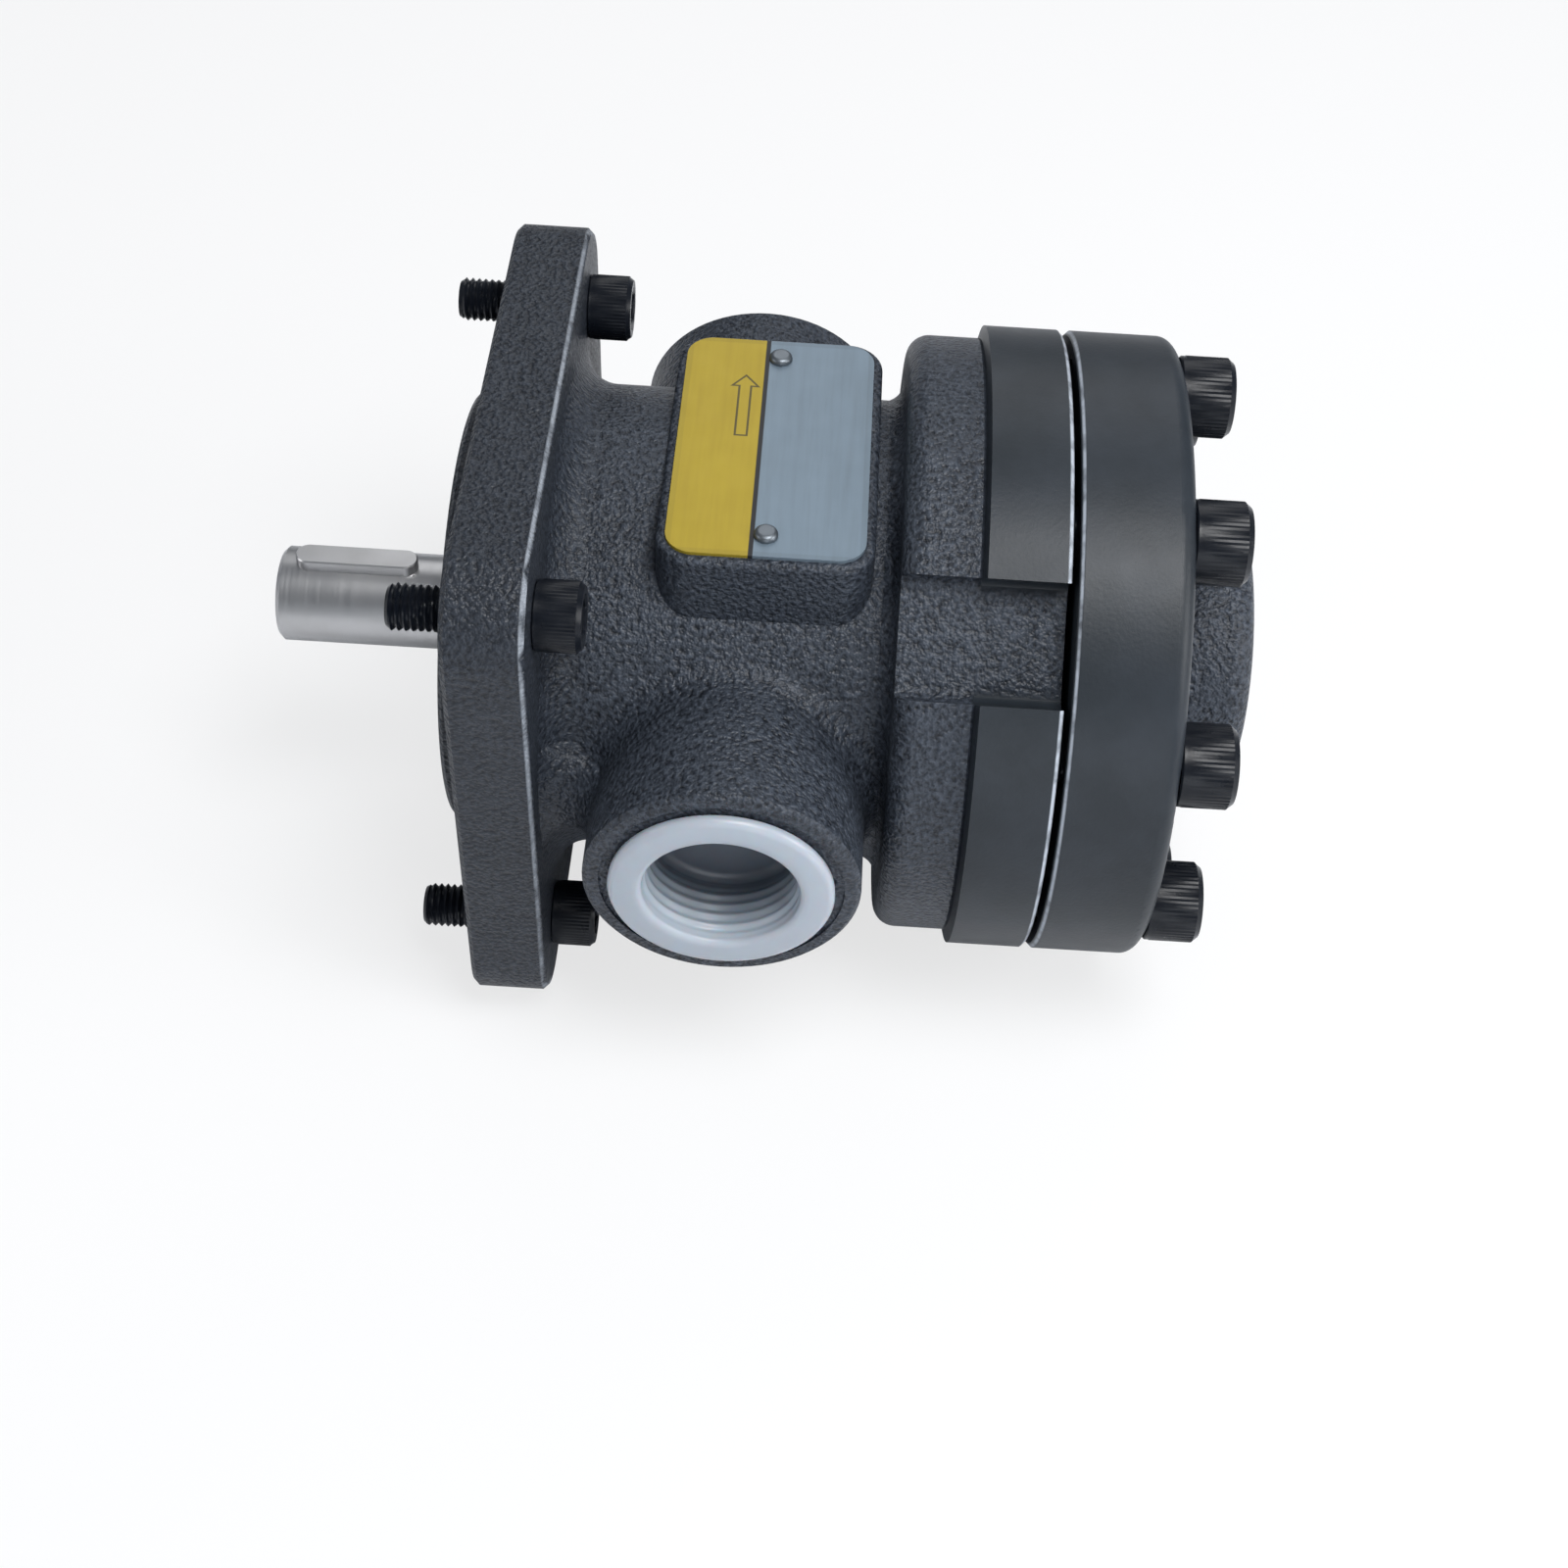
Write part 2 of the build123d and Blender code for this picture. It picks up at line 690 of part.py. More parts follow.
with BuildPart() as drive_shaft:
    with BuildSketch(Plane.XY):
        with BuildLine():
            Polyline(
                (shaft_end, 0),
                (shaft_end, shaft_diameter / 2 - shaft_chamfer),
                (shaft_end + shaft_chamfer, shaft_diameter / 2),
                (shaft_step, shaft_diameter / 2),
                (shaft_step + shaft_chamfer, seat_radius),
                (shaft_clip_front, seat_radius),
                (shaft_clip_front, seat_radius - shaft_circlip_depth),
                (bearing_front, seat_radius - shaft_circlip_depth),
                (bearing_front, seat_radius),
                (bearing_rear, seat_radius),
                (bearing_rear, collar_diameter / 2),
                (bearing_rear + collar_width, collar_diameter / 2),
                (bearing_rear + collar_width, spline_minor_radius),
                (journal_front, spline_minor_radius),
                (journal_front, journal_diameter / 2),
                (shaft_rear - shaft_chamfer, journal_diameter / 2),
                (shaft_rear, journal_diameter / 2 - shaft_chamfer),
                (shaft_rear, 0),
                close=True,
            )
        make_face()
    revolve(axis=Axis.X)
    with BuildSketch(along_x(spline_front)):
        Circle(spline_minor_radius - 1)
        with PolarLocations(0, spline_teeth):
            with Locations((spline_major_radius / 2, 0)):
                Rectangle(spline_major_radius, spline_tooth_width)
        Circle(spline_major_radius, mode=Mode.INTERSECT)
    extrude(amount=journal_front - spline_front)
    with BuildSketch(Plane.XY.offset(shaft_diameter / 2 - key_depth)):
        with Locations((key_centre, 0)):
            SlotOverall(key_length, key_width)
    extrude(amount=shaft_diameter, mode=Mode.SUBTRACT)
save(drive_shaft.part, "drive_shaft")

with BuildPart() as shaft_key:
    with BuildSketch(Plane.XY.offset(shaft_diameter / 2 - key_depth)):
        with Locations((key_centre, 0)):
            SlotOverall(key_length, key_width)
    extrude(amount=key_height)
    chamfer(shaft_key.faces().sort_by(Axis.Z)[-1].edges(), 0.3)
save(shaft_key.part, "shaft_key")

# ---------------------------------------------------------------- front bearing, circlips and seal

middle = (bearing_front + bearing_rear) / 2
outer_land = bearing_pitch_radius + race_land
inner_land = bearing_pitch_radius - race_land
groove_radius_ball = ball_diameter / 2 * groove_ratio

with BuildPart() as outer_race:
    with BuildSketch(Plane.XY):
        add(ring_section(bearing_front, bearing_rear, outer_land, bearing_bore_radius, race_chamfer))
        with Locations((middle, bearing_pitch_radius + ball_diameter / 2 + ball_play - groove_radius_ball)):
            Circle(groove_radius_ball, mode=Mode.SUBTRACT)
    revolve(axis=Axis.X)
save(outer_race.part, "front_bearing_outer_race")

with BuildPart() as inner_race:
    with BuildSketch(Plane.XY):
        add(ring_section(bearing_front, bearing_rear, seat_radius, inner_land))
        with Locations((middle, bearing_pitch_radius - ball_diameter / 2 - ball_play + groove_radius_ball)):
            Circle(groove_radius_ball, mode=Mode.SUBTRACT)
    revolve(axis=Axis.X)
save(inner_race.part, "front_bearing_inner_race")

with BuildPart() as balls:
    with Locations([(middle, y, z) for y, z in circle_places(bearing_pitch_radius, ball_count)]):
        Sphere(ball_diameter / 2)
save(balls.part, "front_bearing_balls")

with BuildPart() as ball_cage:
    add(
        turned_ring(
            middle - cage_width / 2,
            middle + cage_width / 2,
            bearing_pitch_radius - cage_thickness / 2,
            bearing_pitch_radius + cage_thickness / 2,
        )
    )
    for y, z in circle_places(bearing_pitch_radius, ball_count):
        with BuildSketch(Plane(origin=(middle, 0, 0), x_dir=(1, 0, 0), z_dir=(0, y, z))):
            Circle(ball_diameter / 2 + cage_pocket_play)
        extrude(amount=bearing_pitch_radius + cage_thickness, mode=Mode.SUBTRACT)
save(ball_cage.part, "front_bearing_cage")

save(
    circlip(
        circlip_front,
        housing_circlip_thickness,
        bearing_bore_radius - housing_circlip_width,
        bearing_bore_radius + housing_circlip_depth,
        circlip_gap_angle,
    ),
    "bearing_circlip",
)
save(
    circlip(
        shaft_clip_front,
        shaft_circlip_thickness,
        seat_radius - shaft_circlip_depth,
        seat_radius + shaft_circlip_width,
        circlip_gap_angle,
    ),
    "shaft_circlip",
)

with BuildPart() as seal_case:
    with BuildSketch(Plane.XY):
        with BuildLine():
            Polyline(
                (seal_front, seal_lip_outer),
                (seal_front, bearing_bore_radius),
                (seal_rear, bearing_bore_radius),
                (seal_rear, bearing_bore_radius - seal_wall),
                (seal_front + seal_wall, bearing_bore_radius - seal_wall),
                (seal_front + seal_wall, seal_lip_outer),
                close=True,
            )
        make_face()
    revolve(axis=Axis.X)
save(seal_case.part, "shaft_seal_case")

with BuildPart() as seal_lip:
    with BuildSketch(Plane.XY):
        with BuildLine():
            Polyline(
                (seal_front, seal_lip_outer),
                (seal_front, seal_lip_root),
                (seal_rear - seal_lip_width, seal_lip_edge),
                (seal_rear - seal_lip_width / 2, seal_lip_edge),
                (seal_rear, seal_lip_edge + seal_lip_width / 2),
                (seal_rear, seal_lip_back),
                (seal_front + seal_wall, seal_lip_root + seal_lip_width),
                (seal_front + seal_wall, seal_lip_outer),
                close=True,
            )
        make_face()
        with Locations((seal_rear - seal_lip_width, seal_lip_back)):
            Circle(garter_wire / 2, mode=Mode.SUBTRACT)
    revolve(axis=Axis.X)
save(seal_lip.part, "shaft_seal_lip")

with BuildPart() as garter:
    with BuildSketch(Plane.XY):
        with Locations((seal_rear - seal_lip_width, seal_lip_back)):
            Circle(garter_wire / 2)
    revolve(axis=Axis.X)
save(garter.part, "shaft_seal_spring")

# ---------------------------------------------------------------- rear needle bearing

with BuildPart() as needle_shell:
    with BuildSketch(Plane.XY):
        add(ring_section(shell_front, shell_rear, needle_lip_radius, needle_shell_radius))
        with Locations(((shell_front + shell_rear) / 2, (needle_lip_radius + raceway_radius) / 2)):
            Rectangle(
                needle_shell_length - 2 * needle_shell_wall,
                raceway_radius - needle_lip_radius,
                mode=Mode.SUBTRACT,
            )
    revolve(axis=Axis.X)
save(needle_shell.part, "rear_bearing_shell")

needle_middle = (shell_front + shell_rear) / 2
with BuildPart() as needles:
    with BuildSketch(along_x(needle_middle - needle_length / 2)):
        with Locations(circle_places(needle_pitch_radius, needle_count)):
            Circle(needle_diameter / 2)
    extrude(amount=needle_length)
save(needles.part, "rear_bearing_needles")

with BuildPart() as needle_cage:
    add(
        turned_ring(
            needle_middle - needle_cage_length / 2,
            needle_middle + needle_cage_length / 2,
            needle_pitch_radius - needle_cage_wall / 2,
            needle_pitch_radius + needle_cage_wall / 2,
        )
    )
    with BuildSketch(along_x(needle_middle - needle_length / 2 - needle_pocket_play)):
        with Locations(circle_places(needle_pitch_radius, needle_count)):
            Circle(needle_diameter / 2 + needle_pocket_play)
    extrude(amount=needle_length + 2 * needle_pocket_play, mode=Mode.SUBTRACT)
save(needle_cage.part, "rear_bearing_cage")

# ---------------------------------------------------------------- name plate and port plug

with BuildPart() as name_plate:
    with BuildSketch(Plane.XY.offset(pad_height)):
        with Locations((pad_position, 0)):
            RectangleRounded(pad_length - 2 * plate_margin, pad_width - 2 * plate_margin, plate_corner_radius)
        with Locations([(pad_position, y) for y in plate_screw_places]):
            Circle(plate_screw_diameter / 2, mode=Mode.SUBTRACT)
    extrude(amount=plate_thickness)
save(name_plate.part, "name_plate")

with BuildPart() as plate_screws:
    with BuildSketch(Plane.XY.offset(pad_height - plate_screw_depth)):
        with Locations([(pad_position, y) for y in plate_screw_places]):
            Circle(plate_screw_diameter / 2)
    extrude(amount=plate_screw_depth + plate_thickness)
    with BuildSketch(Plane.XY.offset(pad_height + plate_thickness)):
        with Locations([(pad_position, y) for y in plate_screw_places]):
            Circle(plate_screw_head / 2)
    extrude(amount=plate_screw_head_height)
    heads = plate_screws.edges().filter_by(GeomType.CIRCLE).group_by(Axis.Z)[-1]
    fillet(heads, plate_screw_head_height * 0.8)
save(plate_screws.part, "name_plate_screws")

plug_face = port_face_distance - port_spot_depth
with BuildPart() as port_plug:
    with BuildSketch(Plane.XZ.offset(plug_face)):
        with Locations((port_position, 0)):
            Circle(plug_flange_diameter / 2)
    extrude(amount=plug_flange_thickness)
    fillet(port_plug.edges().filter_by(GeomType.CIRCLE).group_by(Axis.Y)[0], plug_rim_fillet)
    with BuildSketch(Plane.XZ.offset(plug_face)):
        with Locations((port_position, 0)):
            Circle(suction_port_diameter / 2 - plug_play)
    extrude(amount=-plug_depth, taper=plug_taper)
    with BuildSketch(Plane.XZ.offset(plug_face + plug_flange_thickness)):
        with Locations((port_position, 0)):
            Circle(suction_port_diameter / 2 - plug_play - plug_wall)
    extrude(amount=-(plug_depth + plug_flange_thickness - plug_wall), taper=plug_taper, mode=Mode.SUBTRACT)
save(port_plug.part, "suction_port_plug")
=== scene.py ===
import json
import math
import bpy
from mathutils import Matrix, Vector


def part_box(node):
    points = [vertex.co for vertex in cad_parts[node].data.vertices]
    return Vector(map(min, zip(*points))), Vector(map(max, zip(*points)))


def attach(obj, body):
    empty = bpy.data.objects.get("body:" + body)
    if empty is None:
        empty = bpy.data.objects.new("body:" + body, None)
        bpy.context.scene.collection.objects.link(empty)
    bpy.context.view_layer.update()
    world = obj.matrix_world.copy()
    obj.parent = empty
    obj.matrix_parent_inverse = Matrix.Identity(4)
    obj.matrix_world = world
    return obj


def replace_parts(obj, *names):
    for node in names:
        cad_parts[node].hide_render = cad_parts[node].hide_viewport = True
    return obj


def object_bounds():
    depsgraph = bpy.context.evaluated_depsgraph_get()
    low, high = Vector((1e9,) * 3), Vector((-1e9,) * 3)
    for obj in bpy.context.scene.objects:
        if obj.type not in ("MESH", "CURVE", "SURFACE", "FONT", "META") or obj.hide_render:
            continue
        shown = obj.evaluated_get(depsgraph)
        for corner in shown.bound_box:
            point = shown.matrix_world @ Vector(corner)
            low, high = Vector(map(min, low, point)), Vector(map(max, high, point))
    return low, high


# A flange-mounted vane pump. X runs along the shaft from the mounting flange to the cover, Z is
# up through the name plate and the plugged port faces -Y. Lengths are in metres, colours linear.
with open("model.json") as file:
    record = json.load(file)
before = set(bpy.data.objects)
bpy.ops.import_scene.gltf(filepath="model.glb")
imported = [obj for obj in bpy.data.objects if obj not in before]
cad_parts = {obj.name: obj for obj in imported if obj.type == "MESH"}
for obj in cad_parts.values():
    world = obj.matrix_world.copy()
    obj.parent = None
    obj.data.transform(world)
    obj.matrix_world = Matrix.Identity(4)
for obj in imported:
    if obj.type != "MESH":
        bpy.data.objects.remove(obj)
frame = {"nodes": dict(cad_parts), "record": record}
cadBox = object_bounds()
nodes = frame["nodes"]
print("frame loaded,", len(nodes), "nodes")


# Shader maths as Python expressions: a Value is a socket that the operators work on.
class Value:
    def __init__(self, tree, socket):
        self.tree = tree
        self.socket = socket

    def math(self, operation, *others, clamp=False):
        settings = {"operation": operation, "use_clamp": clamp}
        return addNode(self.tree, "ShaderNodeMath", settings, dict(enumerate((self, *others))))

    def __add__(self, other):
        return self.math("ADD", other)

    def __sub__(self, other):
        return self.math("SUBTRACT", other)

    def __mul__(self, other):
        return self.math("MULTIPLY", other)

    def __truediv__(self, other):
        return self.math("DIVIDE", other)

    def __pow__(self, other):
        return self.math("POWER", other)

    def __neg__(self):
        return self * -1.0

    def __abs__(self):
        return self.math("ABSOLUTE")

    def __rsub__(self, other):
        return -self + other

    def __rtruediv__(self, other):
        return self ** -1.0 * other

    __radd__ = __add__
    __rmul__ = __mul__

    def higher(self, other):
        return self.math("MAXIMUM", other)

    def lower(self, other):
        return self.math("MINIMUM", other)

    def above(self, edge, soft):  # 0 below the edge and 1 above it, over a soft width
        return ((self - edge) / soft + 0.5).math("ADD", 0.0, clamp=True)

    def below(self, edge, soft):
        return 1.0 - self.above(edge, soft)

    def stretched(self, rates):  # a vector times fixed rates along X, Y and Z
        return addNode(self.tree, "ShaderNodeVectorMath", {"operation": "MULTIPLY"}, {0: self, 1: rates})


def feedSocket(tree, socket, value):
    if isinstance(value, Value):
        tree.links.new(value.socket, socket)
    elif socket.type == "RGBA":
        socket.default_value = (*value, 1.0)
    else:
        socket.default_value = value


# Any node: its type, its settings, what its sockets get, by name or number, and the output wanted.
def addNode(tree, kind, settings, sockets, output=0):
    node = tree.nodes.new(kind)
    for key, value in settings.items():
        setattr(node, key, value)
    for key, value in sockets.items():
        feedSocket(tree, node.inputs[key], value)
    return Value(tree, node.outputs[output])


# A Principled material. Constants go straight on the shader, and x, y and z are the place on
# the piece in the shared frame.
class Material:
    def __init__(self, name, **constants):
        self.material = bpy.data.materials.new(name)
        self.material.use_nodes = True
        self.tree = self.material.node_tree
        self.shader = self.tree.nodes["Principled BSDF"]
        self.place = addNode(self.tree, "ShaderNodeTexCoord", {}, {}, "Object")
        self.x, self.y, self.z = (
            addNode(self.tree, "ShaderNodeSeparateXYZ", {}, {0: self.place}, axis) for axis in "XYZ"
        )
        self.feed(**constants)

    def noise(self, size, detail=3.0, roughness=0.55):
        sockets = {"Vector": self.place, "Scale": 1 / size, "Detail": detail, "Roughness": roughness}
        return addNode(self.tree, "ShaderNodeTexNoise", {}, sockets)

    def streaks(self, rates, detail):  # noise that is drawn out where the rate is low
        sockets = {"Vector": self.place.stretched(rates), "Scale": 1.0, "Detail": detail}
        return addNode(self.tree, "ShaderNodeTexNoise", {}, sockets)

    def mix(self, factor, first, second):
        return addNode(self.tree, "ShaderNodeMix", {"data_type": "RGBA"}, {0: factor, 6: first, 7: second}, 2)

    def feed(self, **sockets):
        for key, value in sockets.items():
            feedSocket(self.tree, self.shader.inputs[key.replace("_", " ")], value)

    def bump(self, height, strength, distance):
        sockets = {"Height": height, "Strength": strength, "Distance": distance}
        self.feed(Normal=addNode(self.tree, "ShaderNodeBump", {}, sockets))

    def radius(self):  # from the shaft's axis
        return (self.y * self.y + self.z * self.z) ** 0.5


# Dark paint: pebbly on cast skin, smooth on the turned ring and cover, rubbed through at edges, which also
# carry a painted highlight, and with painted shade on the flange.
# Here and below, rough is the least roughness, and noise adds a little to it.
paint = {
    "valley": (0.0055, 0.0070, 0.0105),
    "peak": (0.055, 0.066, 0.086),
    "machined": (0.0145, 0.0190, 0.0245),
    # edge: colour of the rubbed-through edges, which also stands as a painted highlight on them
    "edge": (0.42, 0.46, 0.52),
    "roughCast": 0.32,
    "roughTurned": 0.38,
    "specular": 0.3,
    "grain": 0.00105,  # size of the pebbles
    "swell": 0.014,  # size of the slow waves under them
    "depth": 0.0008,
    "patches": 0.20,
    "flangePaintedShade": 0.45,  # painted shade: the flange is drawn darker than the rest of the casting
    # share of the edge colour on the flange's edges, real wear and painted highlight together
    "flangeWearAndHighlight": 0.55,
}

# Where the paint changes: places along X, and distances from the shaft's axis.
painted = {
    "flangeShadeFade": (0.024, 0.016),  # middle and width of the painted shade on the flange
    "flangeBack": (0.0160, 0.0174),  # from and to
    "flangeSide": 0.0671,
    "flangeCorner": 0.0866,
    "ringStart": 0.1072,
    "notchFloor": 0.0630,
    "notchEnd": 0.1260,
    "seam": 0.12625,
    "seamReach": 0.0016,
    "rim": 0.0708,
    "coverRear": 0.1512,
    "bossRadius": 0.0375,
}


def machinedMask(m):  # 1 on the turned ring and cover, 0 on cast skin
    radius = m.radius()
    ring = m.x.above(painted["ringStart"], 0.0006)
    boss = m.x.above(painted["coverRear"], 0.0006) * radius.below(painted["bossRadius"], 0.0012)
    notch = radius.below(painted["notchFloor"], 0.0008) * m.x.below(painted["notchEnd"], 0.0004)
    return ring * (1.0 - boss) * (1.0 - notch)


def edgeWearAndHighlight(m):  # 1 on the thin edges where the paint has rubbed through and where a painted highlight stands for light caught on them
    radius = m.radius()
    seam = abs(m.x - painted["seam"]).below(painted["seamReach"], 0.0003)
    rim = seam * radius.above(painted["rim"], 0.0003)
    side = abs(m.y).higher(abs(m.z)).above(painted["flangeSide"], 0.0004)
    outline = side.higher(radius.above(painted["flangeCorner"], 0.0006))
    start, end = painted["flangeBack"]
    flange = m.x.above(start, 0.0003) * m.x.below(end, 0.0003) * outline
    upperHighlight = (m.z - m.y).above(0.0, 0.12) * 0.65 + 0.35  # painted highlight: the edges are drawn brighter on the upper rear side, where the light falls
    return rim.higher(flange * paint["flangeWearAndHighlight"]) * upperHighlight


def paintMaterial():
    m = Material("paint", Specular_IOR_Level=paint["specular"], IOR=1.5)
    smooth = machinedMask(m)
    grain = m.noise(paint["grain"], 1.5, 0.5)
    cast = (grain + m.noise(paint["swell"], 2.0) * 0.8) * (1.0 - smooth)
    m.bump(cast + m.noise(0.0009, 2.0) * 0.05, 1.0, paint["depth"])
    skin = m.mix(grain.above(0.50, 0.45), paint["valley"], paint["peak"])
    skin = m.mix(smooth, skin, paint["machined"])
    patches = m.noise(0.022, 5.0, 0.62).above(0.56, 0.30)
    skin = m.mix(patches * paint["patches"], skin, paint["peak"])
    # Painted shade: the flange's skin is pulled towards the valley colour, fading out along X.
    skin = m.mix(m.x.below(*painted["flangeShadeFade"]) * paint["flangePaintedShade"], skin, paint["valley"])
    # Real wear and painted highlight together: the bright edge colour on the rubbed edges, broken up by
    # noise.
    worn = edgeWearAndHighlight(m) * (m.noise(0.005, 4.0).above(0.42, 0.25) * 0.75 + 0.25)
    m.feed(Base_Color=m.mix(worn, skin, paint["edge"]))
    roughCast = m.noise(0.006, 4.0) * 0.16 + paint["roughCast"]
    roughTurned = m.noise(0.009, 4.0) * 0.10 + paint["roughTurned"]
    m.feed(Roughness=roughCast * (1.0 - smooth) + roughTurned * smooth)
    return m.material


# Bright steel of the shaft, cartridge and bearings, with turning marks under a thin oil film.
steel = {
    "colour": (0.50, 0.50, 0.51),
    "film": (0.33, 0.325, 0.31),
    "rough": 0.25,
    "marks": (1800.0, 60.0, 60.0),  # how fast they vary along X, Y and Z
}


def steelMaterial():
    m = Material("steel", Metallic=1.0)
    film = m.noise(0.012, 4.0).above(0.5, 0.5)
    m.feed(Base_Color=m.mix(film * 0.35, steel["colour"], steel["film"]))
    m.feed(Roughness=m.streaks(steel["marks"], 2.0) * 0.14 + film * 0.08 + steel["rough"])
    return m.material


# Two-band name plate of brushed metal, bare but for a line between the bands, a plain arrow and a slight
# darkening along its edges.
plate = {
    "silver": (0.165, 0.220, 0.272),
    "gold": (0.37, 0.275, 0.018),
    "silverWorn": (0.105, 0.135, 0.160),
    "goldWorn": (0.26, 0.175, 0.012),
    "ink": (0.012, 0.012, 0.014),
    "metallic": 0.35,
    "rough": 0.36,
    "brushing": (700.0, 45.0, 0.0),  # how fast it varies along X, Y and Z
    "wear": 0.22,
    "split": 0.43,  # share of the width that is gold
    "line": 0.0010,
    "border": 0.0013,
    "borderDarkening": 0.12,
}
arrow = {
    "fromLine": 0.0044,
    "fromTop": 0.0125,
    "length": 0.020,
    "head": 0.0036,
    "spread": 0.80,
    "stem": 0.00130,
    "line": 0.00048,
    "ink": 0.8,
}


def arrowOutline(m, across, tip):  # 1 on the outline of an arrow that points along +Y
    side, along = abs(m.x - across), tip - m.y
    head = ((side - along * arrow["spread"]) / math.hypot(1.0, arrow["spread"])).higher(along - arrow["head"])
    stem = (side - arrow["stem"]).higher(along - arrow["length"]).higher(arrow["head"] * 0.6 - along)
    return abs(head.lower(stem)).below(arrow["line"] / 2, 0.0001)


def borderMask(value, low, high):  # 1 near both ends of a range
    return abs(value - (low + high) / 2).above((high - low) / 2 - plate["border"], 0.0002)


def plateMaterial(low, high):
    m = Material("plate", Metallic=plate["metallic"])
    split = low.x + (high.x - low.x) * plate["split"]
    gold = m.x.below(split, 0.0002)
    line = abs(m.x - split).below(plate["line"] / 2, 0.0002)
    border = borderMask(m.x, low.x, high.x).higher(borderMask(m.y, low.y, high.y))
    drawn = arrowOutline(m, split - arrow["fromLine"], high.y - arrow["fromTop"])
    # The border term darkens the plate a little along its edges.
    ink = line.higher(border * plate["borderDarkening"]).higher(drawn * arrow["ink"])
    brushed = m.streaks(plate["brushing"], 3.0).above(0.55, 0.3)
    worn = m.noise(0.012, 5.0).above(0.5, 0.5) * plate["wear"] + brushed * plate["wear"]
    ground = m.mix(gold, plate["silver"], plate["gold"])
    ground = m.mix(worn, ground, m.mix(gold, plate["silverWorn"], plate["goldWorn"]))
    m.feed(Base_Color=m.mix(ink, ground, plate["ink"]))
    m.feed(Roughness=m.noise(0.005, 4.0) * 0.14 + plate["rough"])
    m.bump(m.noise(0.0035, 3.0), 0.12, 0.0001)
    return m.material


rubber = {"colour": (0.012, 0.012, 0.013), "rough": 0.47, "metallic": 0.0}
iron = {"colour": (0.22, 0.22, 0.23), "rough": 0.37, "metallic": 0.8}
driveScrew = {"colour": (0.16, 0.18, 0.20), "rough": 0.34, "metallic": 0.9}  # the name plate's screws


def plainMaterial(name, finish):
    m = Material(name, Metallic=finish["metallic"])
    m.feed(Base_Color=finish["colour"], Roughness=m.noise(0.003, 3.0) * 0.16 + finish["rough"])
    return m.material


# A skin over rings along X, capped at both ends. Each ring is an X and a radius, and the radius
# may be a function of the angle.
def ringMesh(name, rings, count):
    points = []
    for x, radius in rings:
        for step in range(count):
            angle = math.tau * step / count
            reach = radius(angle) if callable(radius) else radius
            points.append((x, reach * math.cos(angle), reach * math.sin(angle)))
    faces = []
    for ring in range(len(rings) - 1):
        first, second = ring * count, (ring + 1) * count
        for step in range(count):
            after = (step + 1) % count
            faces.append((first + step, first + after, second + after, second + step))
    faces.append(tuple(reversed(range(count))))
    faces.append(tuple(range((len(rings) - 1) * count, len(rings) * count)))
    mesh = bpy.data.meshes.new(name)
    mesh.from_pydata(points, [], faces)
    mesh.validate()
    return mesh


def show(mesh, material, smoothAngle):  # the mesh as an object at the origin, outward and smooth
    shown = bpy.data.objects.new(mesh.name, mesh)
    bpy.context.scene.collection.objects.link(shown)
    bpy.ops.object.select_all(action="DESELECT")
    shown.select_set(True)
    bpy.context.view_layer.objects.active = shown
    bpy.ops.object.mode_set(mode="EDIT")
    bpy.ops.mesh.select_all(action="SELECT")
    bpy.ops.mesh.normals_make_consistent(inside=False)
    bpy.ops.object.mode_set(mode="OBJECT")
    bpy.ops.object.shade_smooth_by_angle(angle=math.radians(smoothAngle))
    mesh.materials.clear()
    mesh.materials.append(material)
    return shown


# Geometry Nodes: a copy of the source object at each place, at a random turn about X from a
# fixed seed, made real and given its material. What comes back is a plain mesh.
def repeat(name, source, places, material, seed):
    spots = bpy.data.meshes.new(name)
    spots.from_pydata(places, [], [])
    holder = bpy.data.objects.new(name, spots)
    bpy.context.scene.collection.objects.link(holder)
    group = bpy.data.node_groups.new(name, "GeometryNodeTree")
    group.interface.new_socket("Geometry", in_out="INPUT", socket_type="NodeSocketGeometry")
    pieceInput = group.interface.new_socket("Piece", in_out="INPUT", socket_type="NodeSocketObject")
    turnInput = group.interface.new_socket("Largest turn", in_out="INPUT", socket_type="NodeSocketVector")
    group.interface.new_socket("Geometry", in_out="OUTPUT", socket_type="NodeSocketGeometry")
    start, end = group.nodes.new("NodeGroupInput"), group.nodes.new("NodeGroupOutput")
    given, piece, largest = (Value(group, output) for output in start.outputs[:3])
    points = addNode(group, "GeometryNodeMeshToPoints", {}, {0: given})
    single = addNode(group, "GeometryNodeObjectInfo", {}, {"Object": piece}, "Geometry")
    spread = {0: (0.0, 0.0, 0.0), 1: largest, "Seed": seed}
    turn = addNode(group, "FunctionNodeRandomValue", {"data_type": "FLOAT_VECTOR"}, spread)
    standing = {"Points": points, "Instance": single, "Rotation": turn}
    copies = addNode(group, "GeometryNodeInstanceOnPoints", {}, standing)
    real = addNode(group, "GeometryNodeRealizeInstances", {}, {0: copies})
    finished = addNode(group, "GeometryNodeSetMaterial", {}, {"Geometry": real, "Material": material})
    feedSocket(group, end.inputs[0], finished)
    modifier = holder.modifiers.new(name, "NODES")
    modifier.node_group = group
    modifier[pieceInput.identifier] = source
    modifier[turnInput.identifier] = (math.tau, 0.0, 0.0)
    made = bpy.data.meshes.new_from_object(holder.evaluated_get(bpy.context.evaluated_depsgraph_get()))
    bpy.data.objects.remove(holder)
    bpy.data.objects.remove(source)
    bpy.data.meshes.remove(spots)
    made.name = name
    return made


